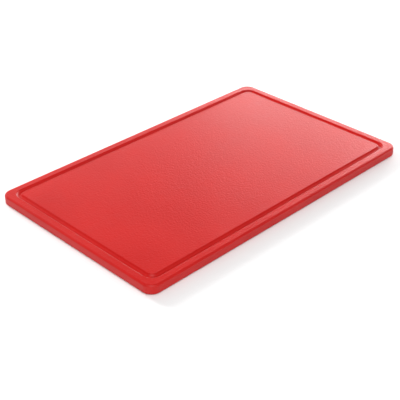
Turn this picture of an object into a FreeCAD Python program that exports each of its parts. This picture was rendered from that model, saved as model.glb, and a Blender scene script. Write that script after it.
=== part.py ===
"""One-piece polyethylene cutting board, gastronorm 1/1, with a juice groove round its upper face.

Frame: millimetres, +Z up. The origin is the centre of the underside, +X runs along the
length and +Y across the width. The board rests on z = 0 and the grooved face looks up.
"""

import FreeCAD
import Part

import os

# Driving dimensions
LENGTH = 530.0
WIDTH = 325.0
THICKNESS = 15.0
CORNER_RADIUS = 16.0  # outline corners, seen from above
EDGE_RADIUS = 3.0  # rounding of the top and bottom edges

RIM_WIDTH = 11.5  # flat land between the side and the groove's outer lip
GROOVE_WIDTH = 9.5  # lip to lip, at the upper face
GROOVE_DEPTH = 3.0
LIP_RADIUS = 1.2  # rounding of each lip of the groove
GROOVE_TURN_RADIUS = 12.0  # centre line of the groove at the four corners

# Worked out from them
HALF_LENGTH = LENGTH / 2
HALF_WIDTH = WIDTH / 2
GROOVE_INSET = RIM_WIDTH + GROOVE_WIDTH / 2  # side of the board to the groove's centre line
RUN_HALF_LENGTH = HALF_LENGTH - GROOVE_INSET  # groove centre line, half size in X
RUN_HALF_WIDTH = HALF_WIDTH - GROOVE_INSET  # groove centre line, half size in Y
CUTTER_TOP = 2.0  # how far the groove cutter stands above the board

UP = FreeCAD.Vector(0, 0, 1)


def vertical_edges(shape):
    """The straight edges that run along Z."""
    return [e for e in shape.Edges if abs(e.tangentAt(e.FirstParameter).z) > 0.999]


def edges_at_height(shape, height):
    """The edges that lie wholly at one height."""
    return [e for e in shape.Edges if all(abs(v.Z - height) < 1e-6 for v in e.Vertexes)]


def blank():
    """The plate before the groove: round corners, then round top and bottom edges."""
    corner = FreeCAD.Vector(-HALF_LENGTH, -HALF_WIDTH, 0)
    plate = Part.makeBox(LENGTH, WIDTH, THICKNESS, corner)
    plate = plate.makeFillet(CORNER_RADIUS, vertical_edges(plate))
    rims = edges_at_height(plate, THICKNESS) + edges_at_height(plate, 0.0)
    return plate.makeFillet(EDGE_RADIUS, rims)


def groove_section():
    """The groove's cross-section as a face in the XZ plane, centred on X = 0.

    A round bottom meets a small rounding at each lip, and each lip meets the upper
    face tangentially, so the two radii add up to one value fixed by width and depth.
    """
    half = GROOVE_WIDTH / 2
    radii = (half**2 + GROOVE_DEPTH**2) / (2 * GROOVE_DEPTH)
    bottom_radius = radii - LIP_RADIUS
    bottom = THICKNESS - GROOVE_DEPTH
    centre = FreeCAD.Vector(0, 0, bottom + bottom_radius)
    lip_centre = FreeCAD.Vector(half, 0, THICKNESS - LIP_RADIUS)
    to_lip = (lip_centre - centre).normalize()
    joint = centre + to_lip * bottom_radius
    lip_top = FreeCAD.Vector(half, 0, THICKNESS)
    lip_middle = lip_centre + (UP - to_lip).normalize() * LIP_RADIUS
    roof = FreeCAD.Vector(half, 0, THICKNESS + CUTTER_TOP)

    def mirrored(point):
        return FreeCAD.Vector(-point.x, point.y, point.z)

    edges = [
        Part.Arc(joint, FreeCAD.Vector(0, 0, bottom), mirrored(joint)).toShape(),
        Part.Arc(mirrored(joint), mirrored(lip_middle), mirrored(lip_top)).toShape(),
        Part.LineSegment(mirrored(lip_top), mirrored(roof)).toShape(),
        Part.LineSegment(mirrored(roof), roof).toShape(),
        Part.LineSegment(roof, lip_top).toShape(),
        Part.Arc(lip_top, lip_middle, joint).toShape(),
    ]
    return Part.Face(Part.Wire(edges))


def groove_cutter():
    """The ring of material that the juice groove removes: four runs and four turns."""
    section = groove_section()
    pieces = []
    for side in range(4):
        along_x = side % 2 == 0
        offset = RUN_HALF_WIDTH if along_x else RUN_HALF_LENGTH
        half_run = (RUN_HALF_LENGTH if along_x else RUN_HALF_WIDTH) - GROOVE_TURN_RADIUS
        # Built for the side that looks along +X, then turned into place about Z.
        run = section.copy()
        run.translate(FreeCAD.Vector(offset, -half_run, 0))
        pivot = FreeCAD.Vector(offset - GROOVE_TURN_RADIUS, half_run, 0)
        turn = section.copy()
        turn.translate(FreeCAD.Vector(offset, half_run, 0))
        straight = run.extrude(FreeCAD.Vector(0, 2 * half_run, 0))
        corner = turn.revolve(pivot, UP, 90)
        for piece in (straight, corner):
            piece.rotate(FreeCAD.Vector(0, 0, 0), UP, 90 * (side + 1))
            pieces.append(piece)
    return pieces[0].multiFuse(pieces[1:])


def board():
    """The finished board as one closed solid."""
    shape = blank().cut(groove_cutter())
    return shape.removeSplitter().Solids[0]


def main():
    os.makedirs("parts", exist_ok=True)
    solid = board()
    solid.exportStep("parts/board.step")
    print("valid", solid.isValid(), "volume_mm3", round(solid.Volume), "faces", len(solid.Faces))


main()
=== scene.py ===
"""Studio view of the polyethylene cutting board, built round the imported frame.

Units are metres, in the frame's own axes: +X along the board, +Y across it, +Z up.
"""
from math import acos, cos, pi, radians, sin

import bpy
from mathutils import Matrix, Vector

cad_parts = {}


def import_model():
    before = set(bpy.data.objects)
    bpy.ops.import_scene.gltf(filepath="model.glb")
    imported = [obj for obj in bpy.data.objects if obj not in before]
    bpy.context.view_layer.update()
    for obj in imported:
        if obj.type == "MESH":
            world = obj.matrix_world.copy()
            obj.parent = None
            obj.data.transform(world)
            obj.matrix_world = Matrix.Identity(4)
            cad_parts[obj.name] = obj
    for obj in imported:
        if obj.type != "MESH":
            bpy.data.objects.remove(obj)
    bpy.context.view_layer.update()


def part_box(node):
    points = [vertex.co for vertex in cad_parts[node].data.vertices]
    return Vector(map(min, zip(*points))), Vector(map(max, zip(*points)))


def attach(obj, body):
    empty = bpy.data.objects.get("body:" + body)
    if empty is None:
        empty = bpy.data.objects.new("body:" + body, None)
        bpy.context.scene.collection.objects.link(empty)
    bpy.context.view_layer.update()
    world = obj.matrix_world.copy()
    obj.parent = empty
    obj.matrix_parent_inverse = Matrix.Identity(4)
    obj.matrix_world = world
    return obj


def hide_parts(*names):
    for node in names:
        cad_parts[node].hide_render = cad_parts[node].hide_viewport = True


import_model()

MM = 0.001
LOW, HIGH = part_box("board")
HALF_LENGTH = (HIGH.x - LOW.x) / 2
HALF_WIDTH = (HIGH.y - LOW.y) / 2
TOP = HIGH.z

# The board's section, as in the CAD model
CORNER_RADIUS = 16 * MM
EDGE_RADIUS = 3 * MM
RIM_WIDTH = 11.5 * MM
GROOVE_WIDTH = 9.5 * MM
GROOVE_DEPTH = 3 * MM
LIP_RADIUS = 1.2 * MM
GROOVE_TURN_RADIUS = 12 * MM

# How finely the mesh follows it
CORNER_STEPS = 24
EDGE_STEPS = 8
LIP_STEPS = 6
GROOVE_STEPS = 24
CELL = 8 * MM  # length of a mesh cell along a straight side
ALONG = round(2 * HALF_LENGTH / CELL)  # cells along the board
ACROSS = round(2 * HALF_WIDTH / CELL)  # cells across it
RING_SIZE = 4 * (CORNER_STEPS + 1) + 2 * (ALONG - 1) + 2 * (ACROSS - 1)

# Colour of the polyethylene where the pigment lies thickest and thinnest
DEEP_RED = (0.472, 0.0030, 0.0018, 1)
PALE_RED = (0.552, 0.0056, 0.0032, 1)

# Roughness of the pressed faces and of the milled edges and groove
FACE_ROUGHNESS = (0.32, 0.48)
MILLED_ROUGHNESS = (0.38, 0.52)

IOR = 1.5
SPECULAR_LEVEL = 0.35  # a fine matte skin reflects less than polished plastic

# Relief, as (distance from bump to bump, height in millimetres)
STIPPLE = (2.6 * MM, 0.32)  # fine grain pressed into the faces
PEEL = (5.5 * MM, 0.10)  # slight unevenness under the grain
TOOL_LINES = (0.7 * MM, 0.03)  # left by the cutter along its path
CHATTER = (1.9 * MM, 0.03)  # and across it
SCUFFS = (0.9 * MM, 18 * MM)  # width and length of faint handling marks
MOTTLE = 90 * MM  # size of the slow drifts in colour and gloss
PIGMENT = 1.6 * MM  # size of the specks of pigment

# Blender's noise seldom leaves the middle half of 0 to 1
NOISE_LOW = 0.25
NOISE_HIGH = 0.75

# View
AZIMUTH = radians(-44.82)  # 0 is the -Y side
ELEVATION = radians(31.84)
ROLL = radians(-0.15)
DISTANCE = 1.3792  # from the camera to AIM
AIM = Vector((-0.0555, -0.0396, 0.0))  # in the middle of the picture
LENS = 84.5  # for a 36 mm wide sensor

# The stage's floor
FLOOR_SIZE = 24
FLOOR_GAP = 0.2 * MM  # below the board, so that the two faces don't meet
FLOOR_GREY = 0.86
FLOOR_ROUGHNESS = 0.8

# Soft boxes, all aimed at the board: azimuth, elevation, distance, width, height, watts
SOFT_BOXES = {
    "key": (-175, 22, 2.4, 0.5, 0.5, 38.3),
    "key_sheen": (-175, 22, 2.4, 1.2, 1.2, 14.0),
    "fill_high": (-45, 56, 2.6, 1.6, 1.6, 34.0),
    "fill_low": (-45, 25, 2.6, 1.6, 1.6, 13.3),
    "panel_right": (118, 10, 1.4, 0.8, 0.4, 7.8),
    "panel_side": (95, 12, 1.4, 0.8, 0.4, 10.0),
    "panel_back": (150, 12, 1.4, 0.8, 0.4, 3.1),
}
UNMIRRORED = ("key",)  # no glare from it: key_sheen, in the same place, is mirrored for both
AMBIENT = 0.444  # strength of the light from all round


def section():
    """The board's section from the underside's edge, round the side and over to the inner lip.

    Each point is (inset from the side, height, how far its normal points outwards, and
    upwards, whether its corner turns with the groove rather than with the outline).
    """
    points = []
    for step in range(EDGE_STEPS + 1):
        turn = -pi / 2 + pi / 2 * step / EDGE_STEPS
        out, up = cos(turn), sin(turn)
        points.append((EDGE_RADIUS * (1 - out), EDGE_RADIUS * (1 + up), out, up, False))
    for step in range(EDGE_STEPS + 1):
        turn = pi / 2 * step / EDGE_STEPS
        out, up = cos(turn), sin(turn)
        points.append((EDGE_RADIUS * (1 - out), TOP - EDGE_RADIUS * (1 - up), out, up, False))

    half = GROOVE_WIDTH / 2
    radii = (half**2 + GROOVE_DEPTH**2) / (2 * GROOVE_DEPTH)
    bottom_radius = radii - LIP_RADIUS
    centre = TOP - GROOVE_DEPTH + bottom_radius
    steepest = acos((centre - (TOP - LIP_RADIUS)) / radii)
    middle = RIM_WIDTH + half
    for step in range(LIP_STEPS + 1):
        tilt = steepest * step / LIP_STEPS
        inset = RIM_WIDTH + LIP_RADIUS * sin(tilt)
        points.append((inset, TOP - LIP_RADIUS * (1 - cos(tilt)), -sin(tilt), cos(tilt), True))
    for step in range(1, GROOVE_STEPS):
        tilt = steepest * (1 - 2 * step / GROOVE_STEPS)
        inset = middle - bottom_radius * sin(tilt)
        points.append((inset, centre - bottom_radius * cos(tilt), -sin(tilt), cos(tilt), True))
    for step in range(LIP_STEPS + 1):
        tilt = steepest * (step / LIP_STEPS - 1)
        inset = RIM_WIDTH + GROOVE_WIDTH + LIP_RADIUS * sin(tilt)
        points.append((inset, TOP - LIP_RADIUS * (1 - cos(tilt)), -sin(tilt), cos(tilt), True))
    return points


def ring(inset, height, with_groove):
    """One closed ring round the board as (point, outward direction) pairs."""
    turn_inset = RIM_WIDTH + GROOVE_WIDTH / 2 + GROOVE_TURN_RADIUS if with_groove else CORNER_RADIUS
    x = HALF_LENGTH - turn_inset
    y = HALF_WIDTH - turn_inset
    radius = turn_inset - inset
    centres = [Vector((x, y, height)), Vector((-x, y, height))]
    centres += [Vector((-x, -y, height)), Vector((x, -y, height))]
    runs = [ALONG, ACROSS, ALONG, ACROSS]
    pairs = []
    for corner in range(4):
        for step in range(CORNER_STEPS + 1):
            turn = pi / 2 * (corner + step / CORNER_STEPS)
            out = Vector((cos(turn), sin(turn), 0))
            pairs.append((centres[corner] + out * radius, out))
        start = pairs[-1][0]
        out = Vector((cos(pi / 2 * (corner + 1)), sin(pi / 2 * (corner + 1)), 0))
        end = centres[(corner + 1) % 4] + out * radius
        for step in range(1, runs[corner]):
            pairs.append((start.lerp(end, step / runs[corner]), out))
    return pairs


def add_sheet(verts, normals, faces, first, turn_inset, height, up):
    """Closes the flat area inside the ring that starts at vertex first, with a grid of cells.

    The grid's corners are the centres that the ring's corners turn about.
    """
    x = HALF_LENGTH - turn_inset
    y = HALF_WIDTH - turn_inset
    base = len(verts)
    for row in range(ACROSS + 1):
        for column in range(ALONG + 1):
            verts.append(Vector((x - 2 * x * column / ALONG, y - 2 * y * row / ACROSS, height)))
            normals.append(Vector((0, 0, up)))

    def at(column, row):
        return base + row * (ALONG + 1) + column

    border = [at(c, 0) for c in range(ALONG + 1)]
    border += [at(ALONG, r) for r in range(1, ACROSS + 1)]
    border += [at(c, ACROSS) for c in range(ALONG - 1, -1, -1)]
    border += [at(0, r) for r in range(ACROSS - 1, 0, -1)]
    new = []
    for row in range(ACROSS):
        for column in range(ALONG):
            corners = (at(column, row), at(column + 1, row), at(column + 1, row + 1), at(column, row + 1))
            new.append(corners)
    outer = first
    inner = 0
    for run in (ALONG, ACROSS, ALONG, ACROSS):
        for step in range(CORNER_STEPS):
            new.append((outer, outer + 1, border[inner]))
            outer += 1
        for step in range(run):
            next_outer = first + (outer + 1 - first) % RING_SIZE
            next_inner = (inner + 1) % len(border)
            new.append((outer, next_outer, border[next_inner], border[inner]))
            outer = next_outer
            inner = next_inner
    faces += new if up > 0 else [face[::-1] for face in new]


def add_numbers(mesh, name, numbers):
    """Stores one number for each vertex. Vertices past the end of the list get 0."""
    layer = mesh.attributes.new(name, "FLOAT", "POINT")
    spare = len(mesh.vertices) - len(numbers)
    layer.data.foreach_set("value", numbers + [0.0] * spare)


def board_mesh():
    """The board as one closed mesh.

    Its material reads two numbers from it: milled is 1 on the edges and in the groove and
    0 on the faces, and along_section is the way round the section, so that the cutter's
    marks can follow its path.
    """
    verts, normals, faces = [], [], []
    milled, along_section = [], []
    points = section()
    way = 0.0
    last_point = points[0]
    for point in points:
        inset, height, out_part, up_part, with_groove = point
        way += Vector((inset - last_point[0], height - last_point[1])).length
        last_point = point
        on_face = abs(height) < 1e-7 or abs(height - TOP) < 1e-7
        for place, out in ring(inset, height, with_groove):
            verts.append(place)
            normals.append(out * out_part + Vector((0, 0, up_part)))
            milled.append(0.0 if on_face else 1.0)
            along_section.append(way)
    for level in range(len(points) - 1):
        for index in range(RING_SIZE):
            a = level * RING_SIZE + index
            b = level * RING_SIZE + (index + 1) % RING_SIZE
            faces.append((a, b, b + RING_SIZE, a + RING_SIZE))
    last = (len(points) - 1) * RING_SIZE
    groove_turn = RIM_WIDTH + GROOVE_WIDTH / 2 + GROOVE_TURN_RADIUS
    add_sheet(verts, normals, faces, last, groove_turn, TOP, 1)
    add_sheet(verts, normals, faces, 0, CORNER_RADIUS, 0, -1)
    mesh = bpy.data.meshes.new("board_body")
    mesh.from_pydata(verts, [], faces)
    mesh.polygons.foreach_set("use_smooth", [True] * len(mesh.polygons))
    add_numbers(mesh, "milled", milled)
    add_numbers(mesh, "along_section", along_section)
    mesh.normals_split_custom_set_from_vertices(normals)
    return mesh


def node(tree, kind, sockets, **settings):
    """Adds a node. Each of its sockets gets a value, or a link from another node's output."""
    new = tree.nodes.new(kind)
    for name, value in settings.items():
        setattr(new, name, value)
    for name, value in sockets.items():
        if isinstance(value, bpy.types.NodeSocket):
            tree.links.new(value, new.inputs[name])
        else:
            new.inputs[name].default_value = value
    return new.outputs[0]


def mesh_number(tree, name):
    """The output that reads one of the mesh's own numbers."""
    reader = tree.nodes.new("ShaderNodeAttribute")
    reader.attribute_name = name
    return reader.outputs["Fac"]


def noise(tree, place, size, detail=2.0):
    """Noise about 0.5 with features of that size, in metres."""
    sockets = {"Vector": place, "Scale": 1 / size, "Detail": detail, "Roughness": 0.55}
    return node(tree, "ShaderNodeTexNoise", sockets)


def fit(tree, value, low, high):
    """Spreads noise over the range from low to high."""
    sockets = {"Value": value, "From Min": NOISE_LOW, "From Max": NOISE_HIGH}
    sockets.update({"To Min": low, "To Max": high})
    return node(tree, "ShaderNodeMapRange", sockets)


def calc(tree, operation, first, second):
    """One sum or product of two numbers."""
    return node(tree, "ShaderNodeMath", {0: first, 1: second}, operation=operation)


def average(tree, shares):
    """The sum of some numbers, each times its share."""
    total = 0.0
    for number, share in shares.items():
        total = node(tree, "ShaderNodeMath", {0: number, 1: share, 2: total}, operation="MULTIPLY_ADD")
    return total


def mix(tree, first, second, share):
    """A number that goes from first to second as share goes from 0 to 1."""
    sockets = {"Value": share, "To Min": first, "To Max": second}
    return node(tree, "ShaderNodeMapRange", sockets)


def relief(tree, place, size_and_height):
    """Noise with features of the first number's size, scaled to the second's height."""
    size, height = size_and_height
    return calc(tree, "MULTIPLY", noise(tree, place, size), height)


def polyethylene():
    """Red polyethylene, with pressed faces and milled edges and groove."""
    material = bpy.data.materials.new("red_polyethylene")
    material.use_nodes = True
    tree = material.node_tree
    shader = tree.nodes["Principled BSDF"]
    shader.inputs["IOR"].default_value = IOR
    shader.inputs["Specular IOR Level"].default_value = SPECULAR_LEVEL

    place = tree.nodes.new("ShaderNodeTexCoord").outputs["Object"]
    milled = mesh_number(tree, "milled")
    path = node(tree, "ShaderNodeCombineXYZ", {"X": mesh_number(tree, "along_section")})
    footprint = node(tree, "ShaderNodeVectorMath", {0: place, 1: (1, 1, 0)}, operation="MULTIPLY")

    mottle = noise(tree, place, MOTTLE, 4.0)
    pigment = noise(tree, place, PIGMENT, 3.0)
    blotches = average(tree, {mottle: 0.6, pigment: 0.4})
    colour = tree.nodes.new("ShaderNodeValToRGB")
    colour.color_ramp.elements[0].position = 0.3
    colour.color_ramp.elements[0].color = DEEP_RED
    colour.color_ramp.elements[1].position = 0.7
    colour.color_ramp.elements[1].color = PALE_RED
    tree.links.new(blotches, colour.inputs["Fac"])
    tree.links.new(colour.outputs["Color"], shader.inputs["Base Color"])

    width, length = SCUFFS
    stretch = (width / length, 1, 1)
    streaks = node(tree, "ShaderNodeVectorMath", {0: place, 1: stretch}, operation="MULTIPLY")
    scuffs = noise(tree, streaks, width, 1.0)
    peel = noise(tree, place, PEEL[0])
    wear = average(tree, {mottle: 0.35, scuffs: 0.25, peel: 0.4})
    face_gloss = fit(tree, wear, *FACE_ROUGHNESS)
    milled_gloss = fit(tree, noise(tree, path, TOOL_LINES[0]), *MILLED_ROUGHNESS)
    tree.links.new(mix(tree, face_gloss, milled_gloss, milled), shader.inputs["Roughness"])

    stipple = relief(tree, place, STIPPLE)
    face_relief = calc(tree, "ADD", stipple, calc(tree, "MULTIPLY", peel, PEEL[1]))
    milled_relief = calc(tree, "ADD", relief(tree, path, TOOL_LINES), relief(tree, footprint, CHATTER))
    height = mix(tree, face_relief, milled_relief, milled)
    bump = node(tree, "ShaderNodeBump", {"Height": height, "Distance": MM, "Strength": 1.0})
    tree.links.new(bump, shader.inputs["Normal"])
    return material


def floor():
    """A plain pale floor, part of the stage."""
    bpy.ops.mesh.primitive_plane_add(size=FLOOR_SIZE, location=(0, 0, -FLOOR_GAP))
    plane = bpy.context.object
    plane.name = "floor"
    material = bpy.data.materials.new("pale_floor")
    material.use_nodes = True
    shader = material.node_tree.nodes["Principled BSDF"]
    shader.inputs["Base Color"].default_value = (FLOOR_GREY, FLOOR_GREY, FLOOR_GREY, 1)
    shader.inputs["Roughness"].default_value = FLOOR_ROUGHNESS
    plane.data.materials.append(material)


def direction(azimuth, elevation):
    """The way out from the board to a camera or lamp. Azimuth 0 is the -Y side."""
    level = cos(elevation)
    return Vector((sin(azimuth) * level, -cos(azimuth) * level, sin(elevation)))


def camera():
    """The camera that looks at AIM, turned by ROLL about its own axis."""
    back = direction(AZIMUTH, ELEVATION)
    level = Vector((cos(AZIMUTH), sin(AZIMUTH), 0))
    upright = back.cross(level)
    right = level * cos(ROLL) + upright * sin(ROLL)
    up = upright * cos(ROLL) - level * sin(ROLL)
    data = bpy.data.cameras.new("camera")
    data.lens = LENS
    view = bpy.data.objects.new("camera", data)
    bpy.context.collection.objects.link(view)
    turn = Matrix((right, up, back)).transposed().to_4x4()
    view.matrix_world = Matrix.Translation(AIM + back * DISTANCE) @ turn
    bpy.context.scene.camera = view


def softbox(name, azimuth, elevation, distance, width, height, power):
    """A soft box aimed at the frame's origin."""
    place = direction(radians(azimuth), radians(elevation)) * distance
    data = bpy.data.lights.new(name, "AREA")
    data.shape = "RECTANGLE"
    data.size = width
    data.size_y = height
    data.energy = power
    lamp = bpy.data.objects.new(name, data)
    bpy.context.collection.objects.link(lamp)
    lamp.location = place
    lamp.rotation_euler = place.to_track_quat("Z", "Y").to_euler()
    lamp.visible_camera = False
    lamp.visible_glossy = name not in UNMIRRORED


def world():
    """Even white light from all round, left out of reflections."""
    new = bpy.data.worlds.new("studio")
    new.use_nodes = True
    back = new.node_tree.nodes["Background"]
    back.inputs["Color"].default_value = (1, 1, 1, 1)
    back.inputs["Strength"].default_value = AMBIENT
    new.cycles_visibility.glossy = False
    bpy.context.scene.world = new


board = bpy.data.objects.new("board_body", board_mesh())
bpy.context.collection.objects.link(board)
board.data.materials.append(polyethylene())
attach(board, "root")
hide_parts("board")

floor()
camera()
world()
for box_name, settings in SOFT_BOXES.items():
    softbox(box_name, *settings)
bpy.context.scene.view_settings.view_transform = "Standard"
